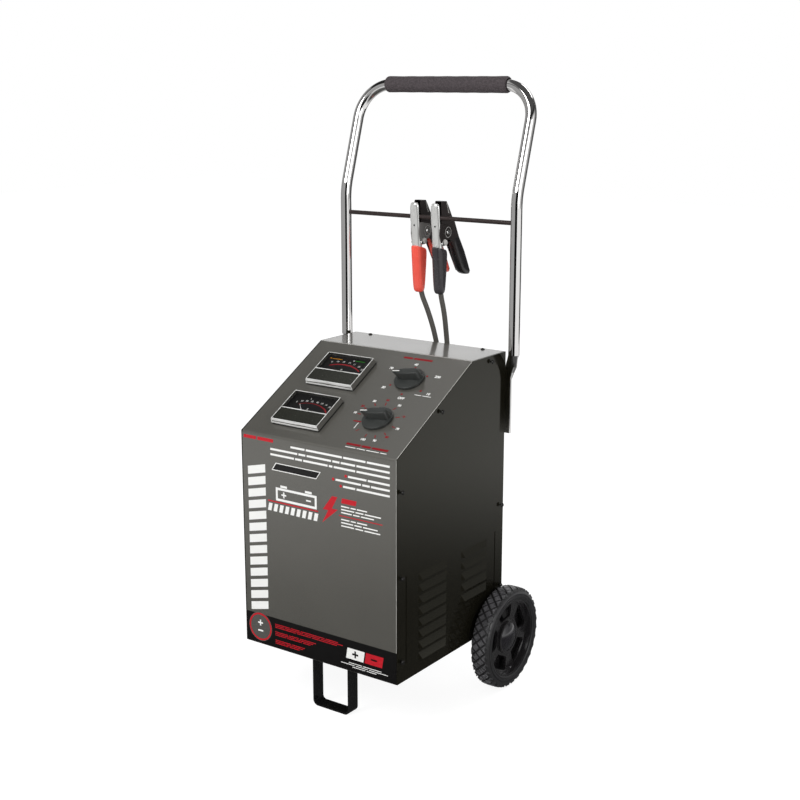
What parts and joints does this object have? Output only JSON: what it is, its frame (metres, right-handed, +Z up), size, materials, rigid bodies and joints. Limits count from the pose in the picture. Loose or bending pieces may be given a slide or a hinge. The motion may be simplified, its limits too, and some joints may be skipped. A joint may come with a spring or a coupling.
{
  "type": "car battery charger",
  "caption": "Wheeled car battery charger: folded steel case with sloping control panel, meters, rotary selector and timer, tube handle, front foot and leads with clamps.",
  "frame": {"origin": "on the floor, below the centre of the charger's outline without its free leads and clamps", "axes": "+X to the right of the user who faces the control panel, -Y towards that user, +Z up"},
  "size_m": [0.4, 0.4939, 1.0427],
  "materials": {
    "ammeter_dial": "black dial plate",
    "ammeter_housing": "black moulding",
    "ammeter_lens": "clear moulded cover",
    "ammeter_needle": "white pointer",
    "axle": "bright bar",
    "axle_brackets": "black paint",
    "axle_spacers": "black nylon",
    "base_tray": "near black satin paint",
    "case_screws": "blackened pan heads",
    "circuit_breaker": "black moulding",
    "clamp_front_grip_black": "black sleeve",
    "clamp_front_grip_red": "red sleeve",
    "clamp_front_half_black": "bright plated",
    "clamp_front_half_red": "bright plated",
    "clamp_pins": "rivets and screws",
    "clamp_rear_grip_black": "black sleeve",
    "clamp_rear_grip_red": "red sleeve",
    "clamp_rear_half_black": "dark plated",
    "clamp_rear_half_red": "dark plated",
    "clamp_springs": "spring steel",
    "coil_tie": "black hook and loop strap",
    "crossbar": "blackened steel rod",
    "fan_blade": "black moulding",
    "fan_bracket": "folded strip",
    "fan_motor": "black can",
    "foam_grip": "dark grey foam",
    "front_cover": "dark grey gloss paint",
    "front_foot": "black gloss strap",
    "handle_bolts": "hexagon heads",
    "handle_tube": "bright chrome plated tube",
    "hub_cap_left": "domed gloss black",
    "hub_cap_right": "domed gloss black",
    "hub_left": "black moulded spokes",
    "hub_right": "black moulded spokes",
    "lead_black": "dark grey jacket",
    "lead_coil_black": "dark grey jacket",
    "lead_coil_red": "dark grey jacket",
    "lead_grommets": "black",
    "lead_red": "dark grey jacket",
    "mains_gland": "black nylon",
    "rear_panel": "near black satin paint",
    "rectifier_diodes": "plated cans",
    "rectifier_heatsink": "extruded fins",
    "selector_knob": "black moulding",
    "selector_shaft": "turned",
    "selector_switch": "black moulding",
    "side_panel_left": "near black satin paint",
    "side_panel_right": "near black satin paint",
    "timer_body": "black moulding",
    "timer_knob": "black moulding",
    "timer_shaft": "turned",
    "transformer_core": "laminated steel",
    "transformer_windings": "lacquered copper",
    "tray_bolts": "zinc plated",
    "tyre_left": "black rubber with blocks",
    "tyre_right": "black rubber with blocks",
    "voltmeter_dial": "black dial plate",
    "voltmeter_housing": "black moulding",
    "voltmeter_lens": "clear moulded cover",
    "voltmeter_needle": "white pointer"
  },
  "bodies": {
    "charger": {"ammeter_dial": "ammeter_dial", "ammeter_housing": "ammeter_housing", "ammeter_lens": "ammeter_lens", "axle": "axle", "axle_brackets": "axle_brackets", "axle_spacers": "axle_spacers", "base_tray": "base_tray", "case_screws": "case_screws", "circuit_breaker": "circuit_breaker", "clamp_front_grip_black": "clamp_front_grip_black", "clamp_front_grip_red": "clamp_front_grip_red", "clamp_front_half_black": "clamp_front_half_black", "clamp_front_half_red": "clamp_front_half_red", "clamp_pins": "clamp_pins", "clamp_springs": "clamp_springs", "coil_tie": "coil_tie", "crossbar": "crossbar", "fan_bracket": "fan_bracket", "fan_motor": "fan_motor", "foam_grip": "foam_grip", "front_cover": "front_cover", "front_foot": "front_foot", "handle_bolts": "handle_bolts", "handle_tube": "handle_tube", "lead_black": "lead_black", "lead_coil_black": "lead_coil_black", "lead_coil_red": "lead_coil_red", "lead_grommets": "lead_grommets", "lead_red": "lead_red", "mains_gland": "mains_gland", "rear_panel": "rear_panel", "rectifier_diodes": "rectifier_diodes", "rectifier_heatsink": "rectifier_heatsink", "selector_switch": "selector_switch", "side_panel_left": "side_panel_left", "side_panel_right": "side_panel_right", "timer_body": "timer_body", "transformer_core": "transformer_core", "transformer_windings": "transformer_windings", "tray_bolts": "tray_bolts", "voltmeter_dial": "voltmeter_dial", "voltmeter_housing": "voltmeter_housing", "voltmeter_lens": "voltmeter_lens"},
    "wheel_left": {"tyre_left": "tyre_left", "hub_left": "hub_left", "hub_cap_left": "hub_cap_left"},
    "wheel_right": {"tyre_right": "tyre_right", "hub_right": "hub_right", "hub_cap_right": "hub_cap_right"},
    "selector_dial": {"selector_knob": "selector_knob", "selector_shaft": "selector_shaft"},
    "timer_dial": {"timer_knob": "timer_knob", "timer_shaft": "timer_shaft"},
    "ammeter_pointer": {"ammeter_needle": "ammeter_needle"},
    "voltmeter_pointer": {"voltmeter_needle": "voltmeter_needle"},
    "fan": {"fan_blade": "fan_blade"},
    "clamp_red_rear": {"clamp_rear_half_red": "clamp_rear_half_red", "clamp_rear_grip_red": "clamp_rear_grip_red"},
    "clamp_black_rear": {"clamp_rear_half_black": "clamp_rear_half_black", "clamp_rear_grip_black": "clamp_rear_grip_black"}
  },
  "joints": [
    {"name": "wheel_left_spin", "type": "hinge", "parent": "charger", "child": "wheel_left", "pos_m": [-0.1825, 0.09885, 0.089], "axis": [1, 0, 0], "continuous": true},
    {"name": "wheel_right_spin", "type": "hinge", "parent": "charger", "child": "wheel_right", "pos_m": [0.1825, 0.09885, 0.089], "axis": [1, 0, 0], "continuous": true},
    {"name": "selector_turn", "type": "hinge", "parent": "charger", "child": "selector_dial", "pos_m": [0.073, -0.03578, 0.55795], "axis": [0, -0.4829, 0.8757], "range_deg": [-271, 23]},
    {"name": "timer_turn", "type": "hinge", "parent": "charger", "child": "timer_dial", "pos_m": [0.073, -0.12422, 0.50918], "axis": [0, -0.4829, 0.8757], "range_deg": [-300, 0]},
    {"name": "ammeter_swing", "type": "hinge", "parent": "charger", "child": "ammeter_pointer", "pos_m": [-0.062, -0.14699, 0.49663], "axis": [0, -0.4829, 0.8757], "range_deg": [-84, 0], "stiffness_Nm_per_rad": 0.002},
    {"name": "voltmeter_swing", "type": "hinge", "parent": "charger", "child": "voltmeter_pointer", "pos_m": [-0.062, -0.05592, 0.54684], "axis": [0, -0.4829, 0.8757], "range_deg": [-84, 0], "stiffness_Nm_per_rad": 0.002},
    {"name": "fan_spin", "type": "hinge", "parent": "charger", "child": "fan", "pos_m": [0.062, 0.09035, 0.332], "axis": [0, 1, 0], "continuous": true},
    {"name": "clamp_red_squeeze", "type": "hinge", "parent": "charger", "child": "clamp_red_rear", "pos_m": [-0.024, 0.14335, 0.7807], "axis": [-1, 0, 0], "range_deg": [0, 22], "stiffness_Nm_per_rad": 1.5, "springref_deg": -34.38},
    {"name": "clamp_black_squeeze", "type": "hinge", "parent": "charger", "child": "clamp_black_rear", "pos_m": [0.019, 0.14335, 0.7807], "axis": [-1, 0, 0], "range_deg": [0, 22], "stiffness_Nm_per_rad": 1.5, "springref_deg": -34.38}
  ]
}
